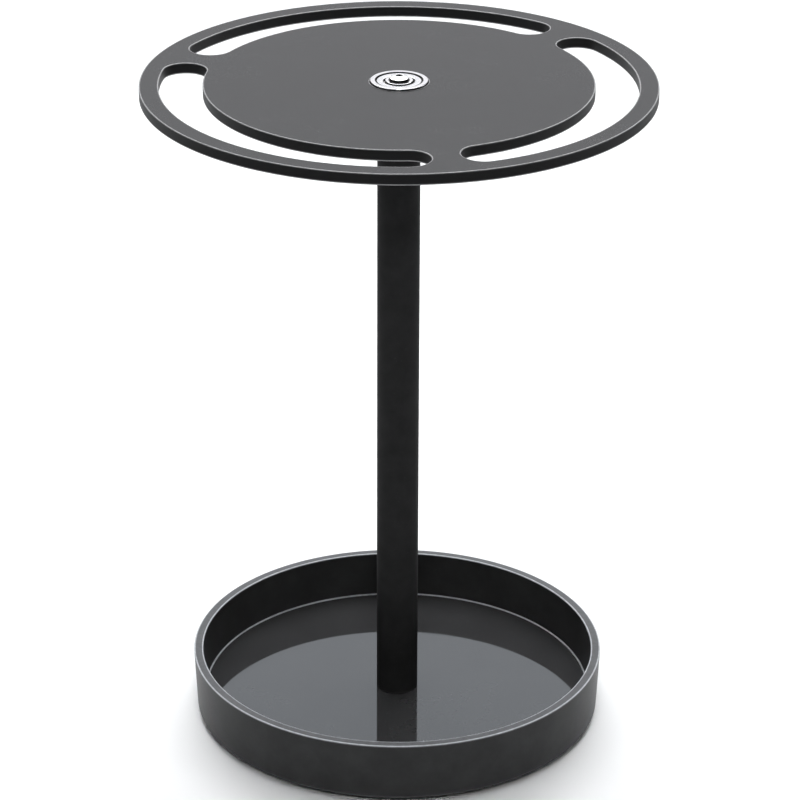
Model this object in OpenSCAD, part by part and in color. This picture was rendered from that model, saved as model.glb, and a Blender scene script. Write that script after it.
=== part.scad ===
// Countertop eyeglass rack: a slotted carousel plate that turns on a flanged ball
// bearing, a slim tubular post, and a round catch tray with a gloss floor.
// Frame: origin at the centre of the footprint, on the surface the rack stands on.
// +Z runs up the post, and -Y faces the viewer. All sizes are in millimetres.

/* [Display plate] */
// Diameter of the plate
plate_d = 225; // [210:1:250]
// Thickness of the plate
plate_t = 5; // [5:0.5:5.5]
// Height of the plate's top face above the table
plate_top_z = 307.4; // [250:0.2:340]
// Width of the outer ring that glasses hang on
ring_w = 8.5; // [7:0.5:12]
// Width of each curved slot
slot_w = 19; // [14:0.5:22]
// Narrowest width of a bridge between two slots
bridge_w = 12.8; // [9:0.2:20]
// Number of slots, with one bridge between each two
slot_n = 3; // [2:1:5]
// Direction of the first bridge, measured from +X
bridge_a = -78; // [-180:1:180]
// Chamfer on the plate's outer edges
plate_edge = 0.4; // [0.2:0.1:0.8]

/* [Bearing] */
// Bore of the bearing
bearing_bore = 8; // [8:1:8]
// Outer diameter of the bearing body
bearing_od = 22; // [22:1:22]
// Width of the bearing
bearing_w = 7; // [7:0.5:7]
// Diameter of the bearing's flange
flange_d = 25; // [24:0.5:26]
// Thickness of the bearing's flange
flange_t = 1.5; // [1.3:0.1:1.6]
// How far the flange is let into the plate
flange_sink = 0.8; // [0.4:0.1:0.9]
// Ball diameter
ball_d = 3.969; // [3.9:0.001:4.0]
// Number of balls
ball_n = 7; // [6:1:7]
// Diameter of the circle through the ball centres
pitch_d = 15; // [15:0.1:15]

/* [Hub] */
// Diameter of the pivot screw's domed head
pivot_head_d = 8.4; // [8.2:0.1:9]
// Height of the pivot screw's head at its middle
pivot_head_h = 2.3; // [2.2:0.1:2.8]
// Height of the straight side of the pivot screw's head
pivot_side_h = 1.1; // [0.6:0.1:1.2]
// Thickness of the spacer under the inner race
spacer_t = 0.8; // [0.7:0.1:1.5]
// Length of the pivot screw under its head
pivot_screw_l = 20; // [16:1:22]

/* [Post] */
// Outer diameter of the post
post_d = 19; // [17:0.5:20]
// Wall thickness of the post
post_wall = 1.2; // [1:0.1:1.5]
// Length of each plug inside the post
plug_l = 18; // [15:1:30]

/* [Tray] */
// Outer diameter of the tray at its rim
tray_d = 189.6; // [170:0.2:210]
// Outer diameter of the tray at its foot
tray_foot_d = 187; // [168:0.2:208]
// Height of the tray from its underside to its rim
tray_h = 27.6; // [18:0.2:40]
// Wall thickness of the tray
tray_wall = 4.3; // [3:0.1:6]
// Thickness of the tray's moulded floor
tray_floor = 3.5; // [3.2:0.1:5]
// Thickness of the gloss floor disc
insert_t = 2; // [1.5:0.5:3]

/* [Feet] */
// Diameter of each foot
foot_d = 12; // [8:1:16]
// How far each foot stands below the tray
foot_h = 3; // [2.8:0.1:5]
// Radius of the circle that the feet stand on
foot_r = 78; // [40:1:80]

/* [Hidden] */

fine = 240;   // facets on the big round parts
mid = 96;     // facets on the small round parts

plate_r = plate_d / 2;
plate_z = plate_top_z - plate_t;
slot_r = plate_r - ring_w - slot_w / 2;                    // middle of the slots
slot_end = (bridge_w / 2 + slot_w / 2) / slot_r * 180 / PI; // bridge centre to slot end centre
slot_span = 360 / slot_n - 2 * slot_end;

flange_z = plate_top_z - flange_sink;   // seat of the flange in the plate
sink_r = flange_d / 2 + 0.4;
bear_top = flange_z + flange_t;
bear_z = bear_top - bearing_w;
pitch_r = pitch_d / 2;
ball_z = bear_z + bearing_w / 2;
groove_r = ball_d / 2 + 0.06;     // race groove, a little larger than the ball
inner_land_r = 6.05;
outer_land_r = 8.95;
seat_r = 10;                      // recess in the outer race that holds the lower shield
top_seat_r = 10.45;               // the same, for the upper shield inside the flange
seat_h = 0.9;
shield_in = 6.42;
top_shield_in = 6.75;
m5_r = 2.47;                      // both screws
m5_clear_r = 2.65;
shield_deep = 0.35;               // shield face below the race face
shield_t = 0.3;

post_top = bear_z - spacer_t;     // top of the upper plug
plug_lip = 1.2;
plug_r = post_d / 2 - post_wall;

tray_z = foot_h;
disc_z = tray_z + tray_floor;
post_z = disc_z + insert_t;
tray_r = tray_d / 2;
tray_foot_r = tray_foot_d / 2;
wall_lean = (tray_r - tray_foot_r) / tray_h;
inner_foot_r = tray_foot_r - tray_wall + wall_lean * tray_floor;
pocket_r = 10;
pocket_h = 1.6;
base_washer_t = 1.2;
base_head_z = tray_z + pocket_h - base_washer_t;   // seat of the base screw's head
base_screw_l = 20;

black = [0.055, 0.055, 0.06];
steel = [0.78, 0.79, 0.8];
zinc = [0.62, 0.64, 0.66];

// A ring with a rectangular section, from z0 to z1
module ring(r0, r1, z0, z1, n = mid)
  rotate_extrude($fn = n) translate([r0, z0]) square([r1 - r0, z1 - z0]);

// A curved slot tool with round ends, from angle a, running through z0 to z1
module slot_tool(a, z0, z1) {
  rotate([0, 0, a])
    rotate_extrude(angle = slot_span, $fn = fine)
      translate([slot_r - slot_w / 2, z0]) square([slot_w, z1 - z0]);
  for (e = [a, a + slot_span])
    rotate([0, 0, e]) translate([slot_r, 0, z0])
      cylinder(d = slot_w - 0.04, h = z1 - z0, $fn = mid);   // just clear of a tangent seam
}

// A button head: a straight rim and a low dome with a hexagon socket, seat at z = 0
module button_head(d, h, rim, hex, deep) {
  cap = h - rim;
  big = (d * d / 4 + cap * cap) / (2 * cap);
  difference() {
    intersection() {
      cylinder(d = d, h = h, $fn = mid);
      translate([0, 0, h - big]) sphere(r = big, $fn = mid);
    }
    translate([0, 0, h - deep]) cylinder(d = hex / cos(30), h = deep + 1, $fn = 6);
  }
}

module top_plate() color(black) difference() {
  rotate_extrude($fn = fine) polygon([
    [bearing_od / 2, plate_z], [plate_r - plate_edge, plate_z],
    [plate_r, plate_z + plate_edge], [plate_r, plate_top_z - plate_edge],
    [plate_r - plate_edge, plate_top_z], [sink_r, plate_top_z],
    [sink_r, flange_z], [bearing_od / 2, flange_z]]);
  for (i = [0 : slot_n - 1])
    slot_tool(bridge_a + slot_end + i * 360 / slot_n, plate_z - 1, plate_top_z + 1);
}

module bearing_outer_race() color(steel) rotate_extrude($fn = mid) difference() {
  polygon([
    [outer_land_r, bear_z + seat_h], [seat_r, bear_z + seat_h], [seat_r, bear_z],
    [bearing_od / 2 - 0.3, bear_z], [bearing_od / 2, bear_z + 0.3],
    [bearing_od / 2, flange_z], [flange_d / 2, flange_z],
    [flange_d / 2, bear_top - 0.3], [flange_d / 2 - 0.3, bear_top],
    [top_seat_r, bear_top], [top_seat_r, bear_top - seat_h], [outer_land_r, bear_top - seat_h]]);
  translate([pitch_r, ball_z]) circle(r = groove_r, $fn = mid);
}

module bearing_inner_race() color(steel) rotate_extrude($fn = mid) difference() {
  translate([bearing_bore / 2, bear_z]) square([inner_land_r - bearing_bore / 2, bearing_w]);
  translate([pitch_r, ball_z]) circle(r = groove_r, $fn = mid);
}

module bearing_balls() color(steel)
  for (i = [0 : ball_n - 1])
    rotate([0, 0, i * 360 / ball_n]) translate([pitch_r, 0, ball_z])
      sphere(d = ball_d, $fn = 48);

module bearing_cage() color(zinc) difference() {
  ring(6.65, 8.35, ball_z - 2.45, ball_z + 2.45);
  for (i = [0 : ball_n - 1])
    rotate([0, 0, i * 360 / ball_n]) translate([pitch_r, 0, ball_z])
      sphere(d = ball_d + 0.24, $fn = 48);
}

// A pressed shield: a flat ring with a lower outer foot; side is 1 for the top, -1 for the bottom
module shield(side) {
  face = side > 0 ? bear_top : bear_z;
  rin = side > 0 ? top_shield_in : shield_in;
  rout = side > 0 ? top_seat_r : seat_r;
  rotate_extrude($fn = mid) polygon([for (p = [
      [rin, shield_deep], [rout - 0.5, shield_deep], [rout - 0.5, 0.7],
      [rout, 0.7], [rout, seat_h], [rout - 0.8, seat_h],
      [rout - 0.8, shield_deep + shield_t], [rin, shield_deep + shield_t]])
    [p[0], face - side * p[1]]]);
}

module bearing_top_shield() color(steel) shield(1);

module bearing_bottom_shield() color(steel) shield(-1);

module bearing_bush() color(zinc)
  ring(m5_clear_r, bearing_bore / 2, bear_z, bear_top - 0.1);

module pivot_screw() color(steel) {
  translate([0, 0, bear_top])
    button_head(pivot_head_d, pivot_head_h, pivot_side_h, 3, 1.4);
  translate([0, 0, bear_top - pivot_screw_l]) cylinder(r = m5_r, h = pivot_screw_l, $fn = mid);
}

module hub_spacer() color(zinc) ring(m5_clear_r, 6, post_top, bear_z);

module post_top_plug() color(zinc) difference() {
  union() {
    translate([0, 0, post_top - plug_lip])
      cylinder(d = post_d - 0.4, h = plug_lip, $fn = mid);
    translate([0, 0, post_top - plug_lip - plug_l])
      cylinder(r = plug_r, h = plug_l, $fn = mid);
  }
  translate([0, 0, post_top - plug_lip - plug_l - 1])
    cylinder(r = m5_r + 0.03, h = plug_l + plug_lip + 2, $fn = mid);
}

module post_tube() color(black)
  ring(plug_r, post_d / 2, post_z, post_top - plug_lip);

module post_bottom_plug() color(zinc) difference() {
  translate([0, 0, post_z]) cylinder(r = plug_r, h = plug_l, $fn = mid);
  translate([0, 0, post_z - 1]) cylinder(r = m5_r + 0.03, h = plug_l + 2, $fn = mid);
}

module tray() color(black) difference() {
  rotate_extrude($fn = fine) polygon([
    [2.75, tray_z + pocket_h], [pocket_r, tray_z + pocket_h], [pocket_r, tray_z],
    [tray_foot_r - 0.8, tray_z], [tray_foot_r + wall_lean * 0.8, tray_z + 0.8],
    [tray_r - wall_lean * 0.6, tray_z + tray_h - 0.6], [tray_r - 0.6, tray_z + tray_h],
    [tray_r - tray_wall + 0.6, tray_z + tray_h],
    [tray_r - tray_wall - wall_lean * 0.6, tray_z + tray_h - 0.6],
    [inner_foot_r, disc_z], [2.75, disc_z]]);
  for (i = [0 : 3])
    rotate([0, 0, 45 + 90 * i]) translate([foot_r, 0, tray_z - 1])
      cylinder(d = foot_d + 0.2, h = 1.5, $fn = mid);
}

module tray_floor_disc() color([0.02, 0.02, 0.025])
  ring(2.75, inner_foot_r - 0.3, disc_z, disc_z + insert_t, fine);

module base_washer() color(zinc) ring(m5_clear_r, 7.5, base_head_z, base_head_z + base_washer_t);

module base_screw() color(zinc) {
  translate([0, 0, base_head_z]) mirror([0, 0, 1]) button_head(9.5, 2.75, 0.6, 3, 1.6);
  translate([0, 0, base_head_z]) cylinder(r = m5_r, h = base_screw_l, $fn = mid);
}

module rubber_feet() color([0.09, 0.09, 0.09])
  for (i = [0 : 3])
    rotate([0, 0, 45 + 90 * i]) translate([foot_r, 0, 0])
      rotate_extrude($fn = mid) polygon([[0, 0], [foot_d / 2 - 0.6, 0], [foot_d / 2, 0.6],
        [foot_d / 2, foot_h + 0.5], [0, foot_h + 0.5]]);

top_plate();
bearing_outer_race();
bearing_inner_race();
bearing_balls();
bearing_cage();
bearing_top_shield();
bearing_bottom_shield();
bearing_bush();
pivot_screw();
hub_spacer();
post_top_plug();
post_tube();
post_bottom_plug();
tray();
tray_floor_disc();
base_washer();
base_screw();
rubber_feet();
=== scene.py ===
import math

import bmesh
import bpy
from mathutils import Matrix, Vector
from mathutils.geometry import delaunay_2d_cdt


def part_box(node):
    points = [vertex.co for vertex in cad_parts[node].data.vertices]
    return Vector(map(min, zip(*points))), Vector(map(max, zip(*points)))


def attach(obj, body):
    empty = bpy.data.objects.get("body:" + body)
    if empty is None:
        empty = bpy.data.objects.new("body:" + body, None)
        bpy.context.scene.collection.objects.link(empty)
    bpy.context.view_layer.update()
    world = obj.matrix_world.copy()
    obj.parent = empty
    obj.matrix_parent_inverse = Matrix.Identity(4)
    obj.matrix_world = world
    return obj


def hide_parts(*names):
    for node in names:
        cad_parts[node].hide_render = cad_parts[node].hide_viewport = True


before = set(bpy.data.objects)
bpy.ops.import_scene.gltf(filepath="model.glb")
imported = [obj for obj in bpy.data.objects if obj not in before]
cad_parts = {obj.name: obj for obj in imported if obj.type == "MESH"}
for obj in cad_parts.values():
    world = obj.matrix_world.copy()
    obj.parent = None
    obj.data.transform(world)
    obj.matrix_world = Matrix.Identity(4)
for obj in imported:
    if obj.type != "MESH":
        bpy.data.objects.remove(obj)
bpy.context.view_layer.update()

MM = 0.001

# ---------------------------------------------------------------- sizes from the CAD frame


def span(node):
    lo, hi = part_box(node)
    return lo, hi


plate_lo, plate_hi = span("top_plate")
PLATE_R = (plate_hi[0] - plate_lo[0]) / 2
PLATE_R = max(PLATE_R, (plate_hi[1] - plate_lo[1]) / 2)
PLATE_R = round(PLATE_R / MM * 2) / 2 * MM          # the CAD mesh's facets fall just inside
PLATE_Z0, PLATE_Z1 = plate_lo[2], plate_hi[2]
RING_W, SLOT_W, BRIDGE_W = 8.5 * MM, 19.0 * MM, 12.8 * MM
SLOT_R = PLATE_R - RING_W - SLOT_W / 2
SLOT_END = (BRIDGE_W / 2 + SLOT_W / 2) / SLOT_R       # bridge centre to slot end centre, radians
BRIDGE_A = math.radians(-78)

race_lo, race_hi = span("bearing_outer_race")
BEAR_Z0, BEAR_Z1 = race_lo[2], race_hi[2]
tube_lo, tube_hi = span("post_tube")
tray_lo, tray_hi = span("tray")
disc_lo, disc_hi = span("tray_floor_disc")
screw_lo, screw_hi = span("pivot_screw")
bscrew_lo, bscrew_hi = span("base_screw")
bwash_lo, bwash_hi = span("base_washer")
feet_lo, feet_hi = span("rubber_feet")

# ---------------------------------------------------------------- mesh tools


def rounded(points, support=0.35 * MM, closed=True):
    """A dense profile from corners (x, z, radius, steps): arcs at the corners, and a support point a little way
    along each straight so that smooth shading stays in the arc. Returns [(x, z, edge)], edge 1 in an arc."""
    out = []
    n = len(points)
    for i, corner in enumerate(points):
        x, z, r = corner[:3]
        steps = corner[3] if len(corner) > 3 else 5
        p = Vector((x, z))
        if (not closed and i in (0, n - 1)) or r <= 0:
            out.append((x, z, 0.0))
            continue
        a = Vector(points[i - 1][:2]) - p
        b = Vector(points[(i + 1) % n][:2]) - p
        la, lb = a.length, b.length
        a.normalize()
        b.normalize()
        ang = a.angle(b)
        t = min(r / math.tan(ang / 2), la * 0.49, lb * 0.49)
        rr = t * math.tan(ang / 2)
        c = p + (a + b).normalized() * (rr / math.sin(ang / 2))
        pa, pb = p + a * t, p + b * t
        if la * 0.5 > t + support * 1.5:
            q = p + a * (t + support)
            out.append((q.x, q.y, 0.0))
        va, vb = pa - c, pb - c
        turn = va.angle_signed(vb)          # clockwise positive
        for k in range(steps + 1):
            f = k / steps
            v = va.copy()
            v.rotate(Matrix.Rotation(-turn * f, 2))
            q = c + v
            out.append((q.x, q.y, 1.0 if 0 < k < steps else 0.6))
        if lb * 0.5 > t + support * 1.5:
            q = p + b * (t + support)
            out.append((q.x, q.y, 0.0))
    return out


def finish_mesh(name, bm, body, material, nodes=(), sharp=None, edge=None):
    bmesh.ops.remove_doubles(bm, verts=bm.verts, dist=1e-7)
    bmesh.ops.recalc_face_normals(bm, faces=bm.faces)
    me = bpy.data.meshes.new(name)
    bm.to_mesh(me)
    bm.free()
    me.polygons.foreach_set("use_smooth", [True] * len(me.polygons))
    if sharp is not None:
        me.set_sharp_from_angle(angle=math.radians(sharp))
    ob = bpy.data.objects.new(name, me)
    bpy.context.scene.collection.objects.link(ob)
    me.materials.append(material)
    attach(ob, body)
    if nodes:
        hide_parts(*nodes)
    return ob


def edge_layer(bm):
    return bm.verts.layers.float.new("edge")


def loft(rings, caps=(None, None), closed=False, edges=None, shade_at=None):
    """Quads between rings of the same number of points. A cap is a point (fan) or None; closed joins the last ring
    to the first. edges gives each ring's edge value, and the shading function gives each point its amount of painted
    shade."""
    bm = bmesh.new()
    lay = edge_layer(bm)
    shade_layer = bm.verts.layers.float.new("painted_shade") if shade_at else None
    rows = []
    for k, ring in enumerate(rings):
        row = []
        for p in ring:
            v = bm.verts.new(p)
            v[lay] = edges[k] if edges else 0.0
            if shade_at:
                v[shade_layer] = shade_at(p)
            row.append(v)
        rows.append(row)
    m = len(rows)
    n = len(rows[0])
    for k in range(m if closed else m - 1):
        a, b = rows[k], rows[(k + 1) % m]
        for i in range(n):
            j = (i + 1) % n
            bm.faces.new((a[i], a[j], b[j], b[i]))
    for cap, row in ((caps[0], rows[0]), (caps[1], rows[-1])):
        if cap is not None:
            c = bm.verts.new(cap)
            if shade_at:
                c[shade_layer] = shade_at(cap)
            for i in range(n):
                bm.faces.new((row[i], row[(i + 1) % n], c))
    return bm


def lathe_bm(profile, n=192, centre=(0, 0), closed=True, shade_at=None):
    """Turns a profile [(radius, z, edge)] round +Z. On an open profile an end with radius 0 becomes a fan."""
    prof = list(profile)
    caps = [None, None]
    if not closed:
        if prof[0][0] < 1e-9:
            caps[0] = (centre[0], centre[1], prof[0][1])
            prof = prof[1:]
        if prof[-1][0] < 1e-9:
            caps[1] = (centre[0], centre[1], prof[-1][1])
            prof = prof[:-1]
    rings = []
    for r, z, _ in prof:
        rings.append([(centre[0] + r * math.cos(2 * math.pi * i / n),
                       centre[1] + r * math.sin(2 * math.pi * i / n), z) for i in range(n)])
    return loft(rings, caps, closed, [p[2] for p in prof], shade_at)


def join_bm(parts):
    """One bmesh from several."""
    out = bmesh.new()
    edge_layer(out)
    for b in parts:
        me = bpy.data.meshes.new("tmp")
        b.to_mesh(me)
        b.free()
        out.from_mesh(me)
        bpy.data.meshes.remove(me)
    return out


def button_head_bm(d, h, rim, hexagon, deep, seat, up=1, shank_r=None, shank_l=0.0, blend=0.3 * MM, n=96,
                   shade_at=None):
    """A domed screw head: straight side, blended shoulder, low dome, hexagon socket with a chamfered mouth, and a
    threaded shank."""
    r = d / 2
    cap = h - rim
    big = (r * r + cap * cap) / (2 * cap)
    a = hexagon / 2

    def dome(q):
        return h - big + math.sqrt(max(big * big - q * q, 0.0))

    def hexr(phi, grow=0.0):
        t = (phi + math.pi / 6) % (math.pi / 3) - math.pi / 6
        return min((a + grow) / math.cos(t), (a + grow) * 1.125)

    phis = [2 * math.pi * i / n for i in range(n)]
    rings, edges = [], []

    def add(fn, edge):
        rings.append([fn(p) for p in phis])
        edges.append(edge)

    def at(q, z):
        return lambda p: (q * math.cos(p), q * math.sin(p), seat + up * z)

    # thread on the shank, as shallow rings that a real pitch would give
    pitch = 0.8 * MM
    if shank_r:
        turns = int(shank_l / pitch)
        add(at(shank_r * 0.72, -shank_l), 0)
        for k in range(turns, 0, -1):
            add(at(shank_r * 0.86, -(k - 0.05) * pitch), 0)
            add(at(shank_r, -(k - 0.45) * pitch), 0)
            add(at(shank_r, -(k - 0.55) * pitch), 0)
        add(at(shank_r * 0.86, -0.02 * MM), 0)
        add(at(shank_r * 0.9, 0), 0)
    else:
        add(at(a * 0.5, 0), 0)
    mouth = a * 1.125 + 0.25 * MM
    side = [(r - 0.4 * MM, 0.0, 0.0), (r, 0.0, 0.12 * MM, 4), (r, rim, blend, 7), (r - 0.9 * MM, dome(r - 0.9 * MM), 0.0)]
    for q, z, e in rounded(side, support=0.1 * MM, closed=False):
        add(at(q, z), e)
    q0 = r - 0.9 * MM
    steps = 8
    for k in range(1, steps + 1):
        q = q0 + (mouth - q0) * k / steps
        add(at(q, dome(q)), 0.15)
    # mouth of the socket, then its walls and a shallow drilled floor
    for grow, drop, e in ((0.2, 0.0, 0.8), (0.12, 0.03, 1), (0.05, 0.09, 1), (0.0, 0.18, 0.8), (0.0, 0.3, 0.2)):
        def ringfn(p, grow=grow, drop=drop):
            q = hexr(p, grow * MM)
            z = dome(q) - drop * MM
            return (q * math.cos(p), q * math.sin(p), seat + up * z)
        add(ringfn, e)

    def wall(z, grow):
        def fn(p):
            q = hexr(p, grow)
            return (q * math.cos(p), q * math.sin(p), seat + up * z)
        return fn
    add(wall(h - deep + 0.1 * MM, 0.0), 0.1)
    add(wall(h - deep, -0.06 * MM), 0.1)
    add(at(a * 0.7, h - deep - 0.02 * MM), 0)
    add(at(a * 0.35, h - deep - 0.2 * MM), 0)
    return loft(rings, ((0, 0, rings[0][0][2]), (0, 0, seat + up * (h - deep - 0.32 * MM))), False, edges, shade_at)


# ---------------------------------------------------------------- materials


def new_material(name):
    m = bpy.data.materials.new(name)
    m.use_nodes = True
    nt = m.node_tree
    nt.nodes.clear()
    out = nt.nodes.new("ShaderNodeOutputMaterial")
    bsdf = nt.nodes.new("ShaderNodeBsdfPrincipled")
    nt.links.new(bsdf.outputs["BSDF"], out.inputs["Surface"])
    return m, nt, bsdf


def node(nt, kind, **kw):
    n = nt.nodes.new(kind)
    for k, v in kw.items():
        if k in n.inputs:
            n.inputs[k].default_value = v
        else:
            setattr(n, k, v)
    return n


def noise(nt, coord, scale, detail=3.0, rough=0.55, stretch=None):
    src = coord
    if stretch:
        mp = nt.nodes.new("ShaderNodeMapping")
        mp.inputs["Scale"].default_value = stretch
        nt.links.new(coord, mp.inputs["Vector"])
        src = mp.outputs["Vector"]
    t = nt.nodes.new("ShaderNodeTexNoise")
    t.inputs["Scale"].default_value = scale
    t.inputs["Detail"].default_value = detail
    t.inputs["Roughness"].default_value = rough
    nt.links.new(src, t.inputs["Vector"])
    return t.outputs["Fac"]


def remap(nt, value, lo, hi, a, b):
    r = nt.nodes.new("ShaderNodeMapRange")
    r.inputs["From Min"].default_value = lo
    r.inputs["From Max"].default_value = hi
    r.inputs["To Min"].default_value = a
    r.inputs["To Max"].default_value = b
    nt.links.new(value, r.inputs["Value"])
    return r.outputs["Result"]


def math_node(nt, op, a, b):
    m = nt.nodes.new("ShaderNodeMath")
    m.operation = op
    for k, v in enumerate((a, b)):
        if isinstance(v, (int, float)):
            m.inputs[k].default_value = v
        else:
            nt.links.new(v, m.inputs[k])
    return m.outputs["Value"]


def mix_colour(nt, fac, a, b):
    m = nt.nodes.new("ShaderNodeMix")
    m.data_type = "RGBA"
    for sock, v in ((m.inputs[6], a), (m.inputs[7], b)):
        if isinstance(v, tuple):
            sock.default_value = (*v, 1.0)
        else:
            nt.links.new(v, sock)
    if isinstance(fac, (int, float)):
        m.inputs[0].default_value = fac
    else:
        nt.links.new(fac, m.inputs[0])
    return m.outputs[2]


def bump(nt, bsdf, layers):
    """layers: [(height socket, distance in metres, strength)]"""
    prev = None
    for h, dist, strength in layers:
        b = nt.nodes.new("ShaderNodeBump")
        b.inputs["Distance"].default_value = dist
        b.inputs["Strength"].default_value = strength
        nt.links.new(h, b.inputs["Height"])
        if prev is not None:
            nt.links.new(prev, b.inputs["Normal"])
        prev = b.outputs["Normal"]
    nt.links.new(prev, bsdf.inputs["Normal"])


def black_plastic(name, base, wear_and_highlight, ior, rough, spread, grain, grain_depth, wave=0.0, smear=0.03, wear_and_highlight_amount=0.9):
    """A black moulded or sheet plastic, or a powder coat: a fine grain, slow patches of gloss where it has been
    handled, and slightly polished edges, greyed partly by wear and partly as a painted edge highlight."""
    m, nt, bsdf = new_material(name)
    co = nt.nodes.new("ShaderNodeTexCoord").outputs["Object"]
    edge = node(nt, "ShaderNodeAttribute", attribute_name="edge").outputs["Fac"]
    patch = noise(nt, co, 28.0, 4.0, 0.6)
    fine = noise(nt, co, 1.0 / grain, 2.0, 0.5)
    tone = noise(nt, co, 55.0, 5.0, 0.65)
    speck = noise(nt, co, 2400.0, 1.0, 0.5)
    # colour: slow tone shifts, the odd pale dust speck, and greyer edges, partly wear and partly a painted edge
    # highlight
    dark = tuple(c * 0.86 for c in base)
    lite = tuple(min(c * 1.18, 1.0) for c in base)
    col = mix_colour(nt, remap(nt, tone, 0.35, 0.65, 0.0, 1.0), dark, lite)
    dust = remap(nt, speck, 0.74, 0.80, 0.0, 0.10)
    col = mix_colour(nt, dust, col, (0.35, 0.34, 0.33))
    rub_and_highlight = math_node(nt, "MULTIPLY", edge, remap(nt, noise(nt, co, 420.0, 4.0, 0.7), 0.35, 0.7, 0.72, 1.0))
    col = mix_colour(nt, math_node(nt, "MULTIPLY", rub_and_highlight, wear_and_highlight_amount), col, wear_and_highlight)
    nt.links.new(col, bsdf.inputs["Base Color"])
    # roughness: base level, slow patches, grain, and smoother edges
    r = remap(nt, patch, 0.3, 0.7, rough - spread, rough + spread)
    r = math_node(nt, "ADD", r, remap(nt, fine, 0.3, 0.7, -smear, smear))
    r = math_node(nt, "ADD", r, math_node(nt, "MULTIPLY", rub_and_highlight, 0.10))
    cut = node(nt, "ShaderNodeAttribute", attribute_name="cut").outputs["Fac"]
    r = math_node(nt, "ADD", r, math_node(nt, "MULTIPLY", cut, 0.26))
    nt.links.new(r, bsdf.inputs["Roughness"])
    layers = [(fine, grain_depth, 0.5)]
    if wave:
        layers.append((noise(nt, co, 1.0 / 0.0009, 2.0, 0.4), wave, 0.35))
    bump(nt, bsdf, layers)
    bsdf.inputs["IOR"].default_value = ior
    return m


def gloss_black(name):
    """Mirror-gloss black acrylic: almost no texture, with faint wipe marks and dust in the gloss."""
    m, nt, bsdf = new_material(name)
    co = nt.nodes.new("ShaderNodeTexCoord").outputs["Object"]
    edge = node(nt, "ShaderNodeAttribute", attribute_name="edge").outputs["Fac"]
    wipe = noise(nt, co, 9.0, 5.0, 0.6, stretch=(1.0, 3.2, 1.0))
    haze = noise(nt, co, 38.0, 4.0, 0.6)
    speck = noise(nt, co, 2100.0, 1.0, 0.5)
    col = mix_colour(nt, remap(nt, haze, 0.35, 0.65, 0.0, 1.0), (0.032, 0.032, 0.033), (0.038, 0.038, 0.039))
    col = mix_colour(nt, remap(nt, speck, 0.75, 0.8, 0.0, 0.12), col, (0.42, 0.41, 0.40))
    # greyer eased edges: a painted edge highlight
    col = mix_colour(nt, math_node(nt, "MULTIPLY", edge, 0.3), col, (0.12, 0.12, 0.125))
    nt.links.new(col, bsdf.inputs["Base Color"])
    r = remap(nt, wipe, 0.35, 0.7, 0.025, 0.06)
    r = math_node(nt, "ADD", r, remap(nt, haze, 0.45, 0.7, 0.0, 0.02))
    nt.links.new(r, bsdf.inputs["Roughness"])
    bump(nt, bsdf, [(noise(nt, co, 16.0, 1.0, 0.4), 0.00002, 0.25)])
    bsdf.inputs["IOR"].default_value = 1.57
    return m


def turned_steel(name, base, dark, rough, ring=0.0, scratch=0.00002, ior=2.4, centre_z=0.0):
    """Polished, turned or pressed steel: fine rings round the axis or fine random scratches, darker low gloss
    patches, and painted shade, near black and rougher, in gaps and recesses."""
    m, nt, bsdf = new_material(name)
    tc = nt.nodes.new("ShaderNodeTexCoord").outputs["Object"]
    edge = node(nt, "ShaderNodeAttribute", attribute_name="edge").outputs["Fac"]
    painted_shade = node(nt, "ShaderNodeAttribute", attribute_name="painted_shade").outputs["Fac"]
    patch = noise(nt, tc, 350.0, 4.0, 0.6)
    col = mix_colour(nt, remap(nt, patch, 0.35, 0.7, 0.0, 0.55), base, dark)
    # painted shade: a near black, rougher colour in the gaps and recesses where shade falls
    shade_amount = math_node(nt, "MULTIPLY", painted_shade, remap(nt, noise(nt, tc, 900.0, 3.0, 0.6), 0.3, 0.6, 0.86, 1.0))
    col = mix_colour(nt, shade_amount, col, (0.004, 0.004, 0.004))
    nt.links.new(col, bsdf.inputs["Base Color"])
    bsdf.inputs["Metallic"].default_value = 1.0
    r = remap(nt, patch, 0.3, 0.7, rough * 0.7, rough * 1.35)
    r = math_node(nt, "SUBTRACT", r, math_node(nt, "MULTIPLY", edge, rough * 0.35))
    r = math_node(nt, "ADD", r, math_node(nt, "MULTIPLY", shade_amount, 0.45))
    nt.links.new(r, bsdf.inputs["Roughness"])
    layers = []
    if ring:
        sep = nt.nodes.new("ShaderNodeSeparateXYZ")
        nt.links.new(tc, sep.inputs[0])
        x2 = math_node(nt, "MULTIPLY", sep.outputs[0], sep.outputs[0])
        y2 = math_node(nt, "MULTIPLY", sep.outputs[1], sep.outputs[1])
        rad = math_node(nt, "SQRT", math_node(nt, "ADD", x2, y2), 0.0)
        comb = nt.nodes.new("ShaderNodeCombineXYZ")
        nt.links.new(rad, comb.inputs[0])
        nt.links.new(sep.outputs[2], comb.inputs[1])
        turned = noise(nt, comb.outputs[0], 14000.0, 2.0, 0.6)
        layers.append((turned, ring, 0.35))
    layers.append((noise(nt, tc, 1800.0, 3.0, 0.6, stretch=(1.0, 6.0, 1.0)), scratch, 0.2))
    bump(nt, bsdf, layers)
    return m


def rubber(name):
    m, nt, bsdf = new_material(name)
    co = nt.nodes.new("ShaderNodeTexCoord").outputs["Object"]
    grain = noise(nt, co, 2600.0, 2.0, 0.5)
    tone = noise(nt, co, 160.0, 4.0, 0.6)
    col = mix_colour(nt, remap(nt, tone, 0.3, 0.7, 0.0, 1.0), (0.018, 0.018, 0.019), (0.034, 0.033, 0.032))
    nt.links.new(col, bsdf.inputs["Base Color"])
    nt.links.new(remap(nt, grain, 0.3, 0.7, 0.62, 0.82), bsdf.inputs["Roughness"])
    bump(nt, bsdf, [(grain, 0.00006, 0.5)])
    return m


# the third colour of the plate and of the tray is their edge grey: a painted edge highlight, partly wear; the tray's
# is near white
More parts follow.
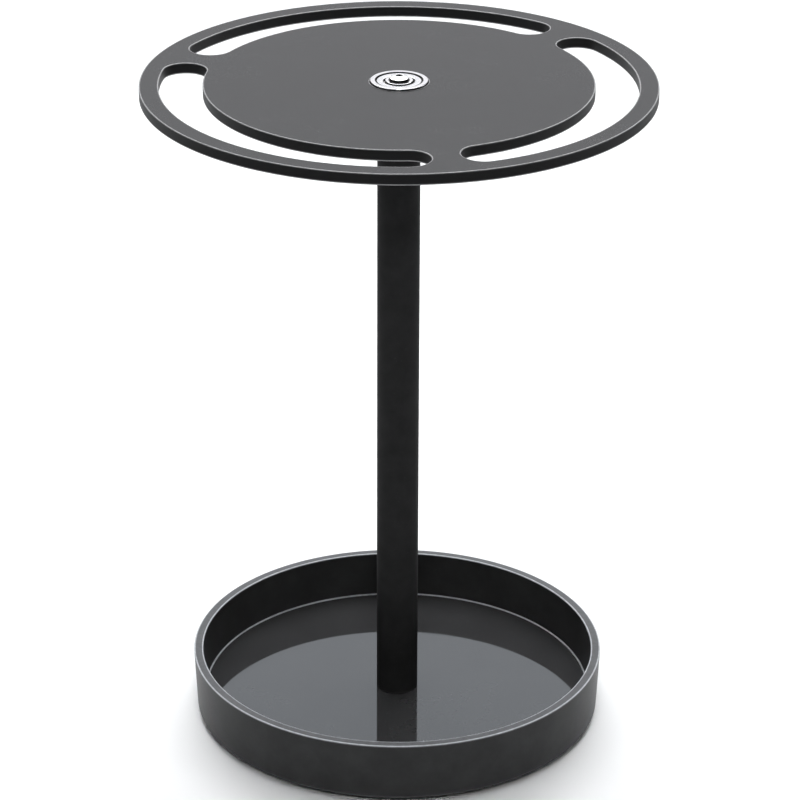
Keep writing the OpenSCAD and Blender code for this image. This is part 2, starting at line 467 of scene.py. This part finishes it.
MAT_PLATE = black_plastic("plate_black", (0.0038, 0.0038, 0.0041), (0.42, 0.42, 0.425), 1.275, 0.24, 0.02,
                          0.00035, 0.000012)
MAT_TRAY = black_plastic("tray_black", (0.0330, 0.0332, 0.0338), (0.72, 0.74, 0.775), 1.22, 0.40, 0.03,
                         0.00045, 0.000015)
MAT_POST = black_plastic("post_black", (0.0218, 0.0218, 0.0221), (0.06, 0.06, 0.062), 1.12, 0.60, 0.03,
                         0.0005, 0.00002, wave=0.00002)
MAT_GLOSS = gloss_black("gloss_black")
MAT_RACE = turned_steel("bearing_steel", (0.86, 0.86, 0.87), (0.60, 0.60, 0.62), 0.08, ring=0.000002)
MAT_SHIELD = turned_steel("shield_steel", (0.80, 0.80, 0.81), (0.55, 0.55, 0.57), 0.16, ring=0.0)
MAT_BRIGHT = turned_steel("bright_steel", (0.90, 0.90, 0.90), (0.66, 0.66, 0.67), 0.07, ring=0.000001)
MAT_ZINC = turned_steel("plated_steel", (0.62, 0.63, 0.65), (0.42, 0.43, 0.46), 0.26, ring=0.000003)
MAT_PRESSED = turned_steel("pressed_steel", (0.50, 0.50, 0.51), (0.34, 0.34, 0.35), 0.30)
MAT_RUBBER = rubber("foot_rubber")

# ---------------------------------------------------------------- top plate


def circle_loop(r, n):
    return [(r * math.cos(2 * math.pi * i / n), r * math.sin(2 * math.pi * i / n)) for i in range(n)]


def slot_loop(a0, half, n_arc=96, n_end=28):
    """Outline of a curved slot with round ends, half its width, from end centre a0 through its span."""
    a1 = a0 + 2 * math.pi / 3 - 2 * SLOT_END
    pts = []
    for i in range(n_arc + 1):
        t = a0 + (a1 - a0) * i / n_arc
        pts.append(((SLOT_R + half) * math.cos(t), (SLOT_R + half) * math.sin(t)))
    for i in range(1, n_end):
        t = a1 + math.pi * i / n_end
        pts.append((SLOT_R * math.cos(a1) + half * math.cos(t), SLOT_R * math.sin(a1) + half * math.sin(t)))
    for i in range(n_arc + 1):
        t = a1 + (a0 - a1) * i / n_arc
        pts.append(((SLOT_R - half) * math.cos(t), (SLOT_R - half) * math.sin(t)))
    for i in range(1, n_end):
        t = a0 + math.pi + math.pi * i / n_end
        pts.append((SLOT_R * math.cos(a0) + half * math.cos(t), SLOT_R * math.sin(a0) + half * math.sin(t)))
    return pts


def make_plate():
    fr = 0.4 * MM                       # radius of the eased edges
    sup = 0.3 * MM
    prof = []                           # (inset into the material, z, edge)
    prof.append((fr + sup, PLATE_Z1, 0.0))
    for k in range(6):
        t = k / 5 * math.pi / 2
        prof.append((fr - fr * math.sin(t), PLATE_Z1 - fr + fr * math.cos(t), (0.6, 1.0, 1.0, 0.7, 0.35, 0.1)[k]))
    prof.append((0.0, PLATE_Z1 - fr - sup, 0.0))
    prof.append((0.0, (PLATE_Z0 + PLATE_Z1) / 2, 0.0))
    prof.append((0.0, PLATE_Z0 + fr + sup, 0.0))
    for k in range(6):
        t = k / 5 * math.pi / 2
        prof.append((fr - fr * math.cos(t), PLATE_Z0 + fr - fr * math.sin(t), 1.0 if 0 < k < 5 else 0.6))
    prof.append((fr + sup, PLATE_Z0, 0.0))
    bore = 11.0 * MM
    sink, sink_z = 12.9 * MM, BEAR_Z1 - 1.5 * MM
    loops = [lambda d: circle_loop(PLATE_R - d, 384)]
    for i in range(3):
        a0 = BRIDGE_A + SLOT_END + i * 2 * math.pi / 3
        loops.append(lambda d, a0=a0: slot_loop(a0, SLOT_W / 2 + d))
    bm = bmesh.new()
    lay = edge_layer(bm)
    sawn = bm.verts.layers.float.new("cut")
    tops, bottoms = [], []
    for fn in loops:
        rows = []
        for inset, z, e in prof:
            row = []
            for x, y in fn(inset):
                v = bm.verts.new((x, y, z))
                v[lay] = e
                v[sawn] = 1.0 if PLATE_Z0 + 0.3 * MM < z < PLATE_Z1 - 0.3 * MM else 0.0
                row.append(v)
            rows.append(row)
        for a, b in zip(rows, rows[1:]):
            n = len(a)
            for i in range(n):
                j = (i + 1) % n
                bm.faces.new((a[i], a[j], b[j], b[i]))
        tops.append(rows[0])
        bottoms.append(rows[-1])
    # the bore: a shallow recess for the bearing's flange, then the hole itself
    hole = [(sink + 0.5 * MM, PLATE_Z1, 0.0), (sink + 0.12 * MM, PLATE_Z1, 0.8), (sink + 0.035 * MM, PLATE_Z1 - 0.035 * MM, 1.0),
            (sink, PLATE_Z1 - 0.12 * MM, 0.6), (sink, sink_z, 0.0), (bore, sink_z, 0.0),
            (bore, PLATE_Z0 + 0.3 * MM, 0.0), (bore + 0.08 * MM, PLATE_Z0 + 0.08 * MM, 1.0), (bore + 0.3 * MM, PLATE_Z0, 0.6),
            (bore + 0.7 * MM, PLATE_Z0, 0.0)]
    rows = []
    for r, z, e in hole:
        row = []
        for x, y in circle_loop(r, 128):
            v = bm.verts.new((x, y, z))
            v[lay] = e
            row.append(v)
        rows.append(row)
    for a, b in zip(rows, rows[1:]):
        for i in range(128):
            j = (i + 1) % 128
            bm.faces.new((a[i], a[j], b[j], b[i]))
    tops.append(rows[0])
    bottoms.append(rows[-1])
    inset = fr + sup
    # extra points in the broad disc keep its triangles compact
    extra = []
    for r in (16, 24, 34, 46, 60, 72, 80):
        n = max(24, int(r * 1.4))
        extra += [(r * MM * math.cos(2 * math.pi * (i + 0.5 * (r % 4 > 1)) / n),
                   r * MM * math.sin(2 * math.pi * (i + 0.5 * (r % 4 > 1)) / n)) for i in range(n)]

    def in_slot(x, y):
        r = math.hypot(x, y)
        for i in range(3):
            a0 = BRIDGE_A + SLOT_END + i * 2 * math.pi / 3
            a1 = a0 + 2 * math.pi / 3 - 2 * SLOT_END
            t = (math.atan2(y, x) - a0) % (2 * math.pi)
            if t <= a1 - a0 and abs(r - SLOT_R) < SLOT_W / 2 + inset:
                return True
            for a in (a0, a1):
                if math.hypot(x - SLOT_R * math.cos(a), y - SLOT_R * math.sin(a)) < SLOT_W / 2 + inset:
                    return True
        return False

    for rows, z, hole_r in ((tops, PLATE_Z1, hole[0][0]), (bottoms, PLATE_Z0, hole[-1][0])):
        verts, coords, cons = [], [], []
        for row in rows:
            base = len(verts)
            verts += row
            coords += [Vector((v.co.x, v.co.y)) * 1000 for v in row]
            cons += [(base + i, base + (i + 1) % len(row)) for i in range(len(row))]
        for x, y in extra:
            v = bm.verts.new((x, y, z))
            verts.append(v)
            coords.append(Vector((x, y)) * 1000)
        vo, _, faces, orig, _, _ = delaunay_2d_cdt(coords, cons, [], 1, 1e-5)
        look = [verts[o[0]] if o else None for o in orig]
        for f in faces:
            c = Vector((0, 0))
            for i in f:
                c += vo[i]
            c /= len(f) * 1000
            r = c.length
            if r < hole_r - 0.02 * MM or r > PLATE_R or in_slot(c.x, c.y):
                continue
            if all(vo[i].length < hole_r * 1000 + 0.01 for i in f):
                continue                # a sliver across the bore, between three points of its edge
            vs = [look[i] for i in f]
            if None in vs or len(set(vs)) < 3:
                continue
            try:
                bm.faces.new(vs)
            except ValueError:
                pass
    bmesh.ops.delete(bm, geom=[v for v in bm.verts if not v.link_faces], context="VERTS")
    return finish_mesh("display_plate", bm, "carousel", MAT_PLATE, ("top_plate",))


PLATE = make_plate()

# ---------------------------------------------------------------- bearing and hub

M = MM
ft = 1.5 * M
race = rounded([
    (8.95 * M, BEAR_Z0 + 0.9 * M, 0.05 * M, 2), (10.0 * M, BEAR_Z0 + 0.9 * M, 0.0), (10.0 * M, BEAR_Z0, 0.12 * M, 3),
    (11.0 * M, BEAR_Z0, 0.3 * M, 4), (11.0 * M, BEAR_Z1 - ft, 0.0), (12.5 * M, BEAR_Z1 - ft, 0.1 * M, 3),
    (12.5 * M, BEAR_Z1, 0.14 * M, 6), (10.45 * M, BEAR_Z1, 0.07 * M, 4), (10.45 * M, BEAR_Z1 - 0.9 * M, 0.0),
    (8.95 * M, BEAR_Z1 - 0.9 * M, 0.05 * M, 2)], support=0.12 * M)
# the ball grooves, as arcs in the two lands
zc = (BEAR_Z0 + BEAR_Z1) / 2
g = 3.969 / 2 * M + 0.06 * M
half = math.acos((8.95 * M - 7.5 * M) / g)
race += [(7.5 * M + g * math.cos(t), zc + g * math.sin(t), 0.0)
         for t in [half + (-half - half) * k / 12 for k in range(13)]]


def in_gap(r0, r1, below):
    """Painted shade in a narrow gap: between two radii, and this far under the bearing's top face."""
    def f(p):
        r = math.hypot(p[0], p[1])
        return 1.0 if r0 * M < r < r1 * M and p[2] < BEAR_Z1 - below * M else 0.0
    return f


# painted shade in the recess inside the flange's lip and down the flange's outer side
finish_mesh("bearing_flange_ring", lathe_bm(
    race, 160, shade_at=lambda p: max(in_gap(8.0, 10.53, -0.01)(p), in_gap(12.4, 12.6, 0.2)(p))), "carousel",
            MAT_RACE, ("bearing_outer_race",), sharp=32)
inner = rounded([
    (4.0 * M, BEAR_Z1, 0.3 * M, 5), (4.0 * M, BEAR_Z0, 0.3 * M, 5), (6.05 * M, BEAR_Z0, 0.22 * M, 5),
    (6.05 * M, BEAR_Z1, 0.22 * M, 5), (4.78 * M, BEAR_Z1, 0.0), (4.66 * M, BEAR_Z1, 0.0)], support=0.1 * M)
half = math.acos((7.5 * M - 6.05 * M) / g)
cut = [(7.5 * M - g * math.cos(t), zc + g * math.sin(t), 0.0)
       for t in [-half + 2 * half * k / 12 for k in range(13)]]
at_ = next(i for i, p in enumerate(inner) if p[0] > 6.0 * M and p[1] > zc)
# painted shade in the gap by the upper shield, and a painted shadow of the screw head round the bore
finish_mesh("bearing_inner_ring", lathe_bm(
    inner[:at_] + cut + inner[at_:], 128,
    shade_at=lambda p: max(in_gap(5.9, 7.0, 0.06)(p),
                        1.0 if math.hypot(p[0], p[1]) < 4.7 * M and p[2] > BEAR_Z1 - 0.35 * M else 0.0)),
            "stand", MAT_RACE, ("bearing_inner_race",), sharp=32)


def shield(side, name, nodename, rin, rout):
    face = BEAR_Z1 if side > 0 else BEAR_Z0

    def f(r, d, rad=0.0, k=3):
        return (r * M, face - side * d * M, rad * M, k)
    prof = rounded([
        f(rin, 0.42, 0.06), f(rin + 0.35, 0.42, 0.1), f(rin + 0.5, 0.35, 0.1), f(rout - 0.74, 0.35, 0.07, 4),
        f(rout - 0.74, 0.78, 0.0), f(rout, 0.78, 0.05), f(rout, 0.9, 0.05), f(rout - 0.8, 0.9, 0.05),
        f(rout - 0.8, 0.65, 0.05), f(rin, 0.65, 0.06)], support=0.1 * M)

    # painted shade where the shield's rim sits down in its groove, and along its inner edge
    def shade_at(p):
        r = math.hypot(p[0], p[1]) / M
        deep = side * (face - p[2]) / M
        return 1.0 if (r > rout - 0.83 and deep > 0.3) or r < rin + 0.3 else 0.0
    return finish_mesh(name, lathe_bm(prof, 144, shade_at=shade_at), "carousel", MAT_SHIELD, (nodename,),
                       sharp=40)


shield(1, "upper_shield", "bearing_top_shield", 6.75, 10.45)
shield(-1, "lower_shield", "bearing_bottom_shield", 6.42, 10.0)

# painted shade in the hex socket, and a painted dark band, standing in for shade and a dark reflection, on the lower
# side of the head
finish_mesh("pivot_domed_screw",
            button_head_bm(8.4 * M, 2.3 * M, 1.1 * M, 3.0 * M, 1.4 * M, BEAR_Z1, 1, 2.47 * M, 20 * M,
                           blend=0.14 * M, shade_at=lambda p: 1.0 if BEAR_Z1 + 0.6 * M < p[2] < BEAR_Z1 + 2.02 * M
                           and math.hypot(p[0], p[1]) < 1.8 * M or math.hypot(p[0], p[1]) > 4.0 * M
                           and p[2] < BEAR_Z1 + 0.98 * M else 0.0),
            "stand", MAT_BRIGHT, ("pivot_screw",), sharp=35)

# ---------------------------------------------------------------- post

finish_mesh("post", lathe_bm(rounded([
    (8.3 * M, tube_lo[2], 0.1 * M, 3), (9.5 * M, tube_lo[2], 0.35 * M, 5),
    (9.5 * M, tube_hi[2], 0.35 * M, 5), (8.3 * M, tube_hi[2], 0.1 * M, 3)], support=0.4 * M), 160),
    "stand", MAT_POST, ("post_tube",))

# ---------------------------------------------------------------- tray

tz0, tz1 = tray_lo[2], tray_hi[2]
floor_z = disc_lo[2]
TRAY_R, FOOT_R, WALL = 94.8 * M, 93.5 * M, 4.3 * M
lean = (TRAY_R - FOOT_R) / (tz1 - tz0)
inner_foot = FOOT_R - WALL + lean * (floor_z - tz0)
dz0, dz1 = disc_lo[2], disc_hi[2]
disc_r = inner_foot - 0.3 * M
bead = inner_foot + lean * (dz1 - floor_z)          # the wall's radius at the floor disc's top
tray_prof = rounded([
    (2.75 * M, tz0 + 1.6 * M, 0.1 * M, 3), (10.0 * M, tz0 + 1.6 * M, 0.3 * M, 4), (10.0 * M, tz0, 0.3 * M, 4),
    (84.0 * M, tz0, 0.3 * M, 4), (84.6 * M, tz0 + 0.6 * M, 0.3 * M, 4), (89.0 * M, tz0 + 0.6 * M, 0.3 * M, 4),
    (89.6 * M, tz0, 0.3 * M, 4),
    (FOOT_R, tz0, 1.1 * M, 8), (TRAY_R, tz1, 0.55 * M, 8), (TRAY_R - WALL, tz1, 0.55 * M, 8),
    (bead + 0.03 * M, dz1 + 0.48 * M, 0.1 * M, 3), (bead - 0.5 * M, dz1 + 0.08 * M, 0.05 * M, 3),
    (bead - 0.5 * M, dz1 + 0.03 * M, 0.0), (inner_foot + 0.04 * M, dz1 - 0.1 * M, 0.1 * M, 3),
    (inner_foot, floor_z, 0.25 * M, 3), (2.75 * M, floor_z, 0.1 * M, 3)], support=0.3 * M)
# painted highlight, partly wear: the pale edge colour full on the rim's eased edges, a painted light line on the bead
# at the wall's foot, slight on the rim's flat to lighten it, none lower down
wear_and_highlight = []
for r, z, e in tray_prof:
    if z > tz1 - 0.7 * M:
        e = max(e * min(1.0, max(0.0, 1.25 + (z - tz1) / (0.4 * M))), 0.145)
    elif dz1 + 0.05 * M < z < dz1 + 0.52 * M and r > 50 * M and r < FOOT_R - 2 * M:
        e = 0.72
    else:
        e *= 0.1
    wear_and_highlight.append((r, z, e))
finish_mesh("catch_tray", lathe_bm(wear_and_highlight, 320), "stand", MAT_TRAY, ("tray",))

finish_mesh("gloss_floor", lathe_bm(rounded([
    (2.75 * M, dz0, 0.1 * M, 2), (disc_r, dz0, 0.1 * M, 3), (disc_r, dz1, 0.3 * M, 5), (2.75 * M, dz1, 0.1 * M, 2)],
    support=0.4 * M), 320), "stand", MAT_GLOSS, ("tray_floor_disc",))

# ---------------------------------------------------------------- underside

fh = feet_hi[2]
foot_parts = []
for k in range(4):
    a = math.radians(45 + 90 * k)
    c = (78 * M * math.cos(a), 78 * M * math.sin(a))
    foot_parts.append(lathe_bm(rounded([
        (0, 0.25 * M, 0), (4.0 * M, 0.25 * M, 0.3 * M, 4), (4.5 * M, 0, 0.2 * M, 3), (5.4 * M, 0, 0.5 * M, 5),
        (6.0 * M, 0.9 * M, 0.6 * M, 5), (6.0 * M, fh, 0.15 * M, 3), (0, fh, 0)], support=0.3 * M, closed=False),
        56, c, closed=False))
finish_mesh("feet", join_bm(foot_parts), "stand", MAT_RUBBER, ("rubber_feet",), sharp=50)

bz0, bz1 = bwash_lo[2], bwash_hi[2]
finish_mesh("base_plain_washer", lathe_bm(rounded([
    (2.65 * M, bz0, 0.1 * M, 3), (7.5 * M, bz0, 0.2 * M, 4), (7.5 * M, bz1, 0.1 * M, 3),
    (2.65 * M, bz1, 0.05 * M, 2)], support=0.15 * M), 96), "stand", MAT_ZINC, ("base_washer",))
finish_mesh("base_button_screw",
            button_head_bm(9.5 * M, 2.75 * M, 0.6 * M, 3.0 * M, 1.6 * M, bz0, -1, 2.47 * M, 20 * M),
            "stand", MAT_ZINC, ("base_screw",), sharp=35)

# ---------------------------------------------------------------- CAD nodes that stay, with finished materials

for name, mat in (("bearing_balls", MAT_RACE), ("bearing_cage", MAT_PRESSED),
                  ("bearing_bush", MAT_ZINC), ("hub_spacer", MAT_ZINC), ("post_top_plug", MAT_ZINC),
                  ("post_bottom_plug", MAT_ZINC)):
    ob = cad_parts[name]
    ob.data.materials.clear()
    ob.data.materials.append(mat)

# ---------------------------------------------------------------- floor, light, camera

fm, fnt, fb = new_material("studio_floor")
fco = fnt.nodes.new("ShaderNodeTexCoord").outputs["Object"]
fnt.links.new(mix_colour(fnt, remap(fnt, noise(fnt, fco, 3.0, 3.0), 0.3, 0.7, 0.0, 1.0),
                         (0.95, 0.95, 0.95), (0.97, 0.97, 0.97)), fb.inputs["Base Color"])
fsep = fnt.nodes.new("ShaderNodeSeparateXYZ")
fnt.links.new(fco, fsep.inputs[0])
far = math_node(fnt, "SQRT", math_node(fnt, "ADD", math_node(fnt, "MULTIPLY", fsep.outputs[0], fsep.outputs[0]),
                                       math_node(fnt, "MULTIPLY", fsep.outputs[1], fsep.outputs[1])), 0.0)
far = remap(fnt, far, 0.95, 1.9, 0.0, 0.66)
fnt.links.new(far, fb.inputs["Emission Strength"])
fb.inputs["Emission Color"].default_value = (1, 1, 1, 1)
fb.inputs["Roughness"].default_value = 0.9
fb.inputs["Specular IOR Level"].default_value = 0.1
fbm = bmesh.new()
bmesh.ops.create_circle(fbm, cap_ends=True, segments=96, radius=6.0)
fme = bpy.data.meshes.new("studio_floor")
fbm.to_mesh(fme)
fbm.free()
floor = bpy.data.objects.new("studio_floor", fme)
floor.location = (0, 0, -0.0002)
fme.materials.append(fm)
bpy.context.scene.collection.objects.link(floor)

sm, snt, sb = new_material("studio_backdrop")
sb.inputs["Base Color"].default_value = (0.0, 0.0, 0.0, 1)
sb.inputs["Emission Color"].default_value = (1, 1, 1, 1)
sb.inputs["Emission Strength"].default_value = 1.0
sb.inputs["Roughness"].default_value = 1.0
sbm = bmesh.new()
bmesh.ops.create_cone(sbm, cap_ends=False, segments=96, radius1=5.9, radius2=5.9, depth=6.0)
sme = bpy.data.meshes.new("studio_backdrop")
sbm.to_mesh(sme)
sbm.free()
backdrop = bpy.data.objects.new("studio_backdrop", sme)
backdrop.location = (0, 0, 2.99)
sme.materials.append(sm)
bpy.context.scene.collection.objects.link(backdrop)
for flag in ("visible_diffuse", "visible_glossy", "visible_transmission", "visible_shadow"):
    setattr(backdrop, flag, False)

def smooth(nt, v, lo, hi, a, b):
    r = nt.nodes.new("ShaderNodeMapRange")
    r.interpolation_type = "SMOOTHSTEP"
    for k, q in (("From Min", lo), ("From Max", hi), ("To Min", a), ("To Max", b)):
        r.inputs[k].default_value = q
    nt.links.new(v, r.inputs["Value"])
    return r.outputs["Result"]


# a dim room, a bright low wall behind the rack that its flat faces mirror, and a narrow bright strip overhead
DIM, WALL_LOW, WALL_HIGH, STRIP = 0.06, 1.10, 1.36, 0.85
world = bpy.data.worlds.new("studio")
bpy.context.scene.world = world
world.use_nodes = True
wnt = world.node_tree
wnt.nodes.clear()
wout = wnt.nodes.new("ShaderNodeOutputWorld")
wbg = wnt.nodes.new("ShaderNodeBackground")
wnt.links.new(wbg.outputs[0], wout.inputs[0])
wdir = wnt.nodes.new("ShaderNodeTexCoord").outputs["Generated"]
wsep = wnt.nodes.new("ShaderNodeSeparateXYZ")
wnt.links.new(wdir, wsep.inputs[0])
wx, wy, wz = wsep.outputs
flat = math_node(wnt, "SQRT", math_node(wnt, "ADD", math_node(wnt, "ADD", math_node(wnt, "MULTIPLY", wx, wx),
                                                              math_node(wnt, "MULTIPLY", wy, wy)), 0.0001), 0.0)
turn = math_node(wnt, "DIVIDE", wy, flat)            # -1 in front of the rack, 1 behind it
behind = smooth(wnt, turn, 0.80, 0.96, 0.0, 1.0)
low = math_node(wnt, "ADD", DIM, math_node(wnt, "MULTIPLY", behind, smooth(wnt, wz, 0.36, 0.50, WALL_LOW - DIM,
                                                                           WALL_HIGH - DIM)))
high = smooth(wnt, wz, 0.60, 0.80, 0.0, 1.0)
side = math_node(wnt, "ABSOLUTE", wx, 0.0)
strip = math_node(wnt, "MULTIPLY", smooth(wnt, side, 0.15, 0.40, 1.0, 0.0), smooth(wnt, wy, -0.45, -0.15, 0.0, 1.0))
up = math_node(wnt, "ADD", DIM, math_node(wnt, "MULTIPLY", strip, STRIP - DIM))
level = math_node(wnt, "ADD", math_node(wnt, "MULTIPLY", low, math_node(wnt, "SUBTRACT", 1.0, high)),
                  math_node(wnt, "MULTIPLY", high, up))
wnt.links.new(level, wbg.inputs["Strength"])
wnt.links.new(mix_colour(wnt, smooth(wnt, wz, 0.36, 0.5, 0.0, 1.0), (1.0, 1.0, 1.03), (0.935, 1.0, 1.08)),
              wbg.inputs["Color"])


def area(name, loc, target, size, radiance, spread=180.0):
    """A soft box of a given brightness: its power is brightness x pi x area, less what a grid holds back."""
    d = bpy.data.lights.new(name, "AREA")
    d.shape = "RECTANGLE"
    d.size, d.size_y = size
    h = math.radians(spread) / 2
    d.spread = math.radians(spread)
    grid = (math.tan(h) - h) / math.tan(h) if spread < 179 else 1.0
    d.energy = radiance * math.pi * size[0] * size[1] * grid
    o = bpy.data.objects.new(name, d)
    o.location = loc
    o.rotation_mode = "QUATERNION"
    o.rotation_quaternion = (Vector(target) - Vector(loc)).to_track_quat("-Z", "Y")
    bpy.context.scene.collection.objects.link(o)
    o.visible_camera = False
    return o


area("rear_box", (0.0, 0.52, 1.0), (0, 0.47, 0), (1.2, 1.0), 4.2)
area("top_box", (0.0, -0.62, 1.75), (0, 0, 0.25), (0.42, 0.42), 8.0)
area("front_fill", (0.0, -1.75, 1.55), (0, 0, 0.12), (0.5, 0.5), 26.0, spread=32.0)

cam_data = bpy.data.cameras.new("camera")
cam_data.sensor_width = 36.0
cam_data.lens = 148.96
cam_data.clip_start, cam_data.clip_end = 0.01, 50
cam = bpy.data.objects.new("camera", cam_data)
cam.matrix_world = (Matrix.Translation((0, -1.3585, 0.78235)) @ Matrix.Rotation(math.radians(-0.038), 4, "Z")
                    @ Matrix.Rotation(math.radians(90 - 24.77), 4, "X") @ Matrix.Rotation(math.radians(0.22), 4, "Z"))
bpy.context.scene.collection.objects.link(cam)
bpy.context.scene.camera = cam

bpy.context.scene.view_settings.view_transform = "Standard"
bpy.context.scene.view_settings.look = "None"
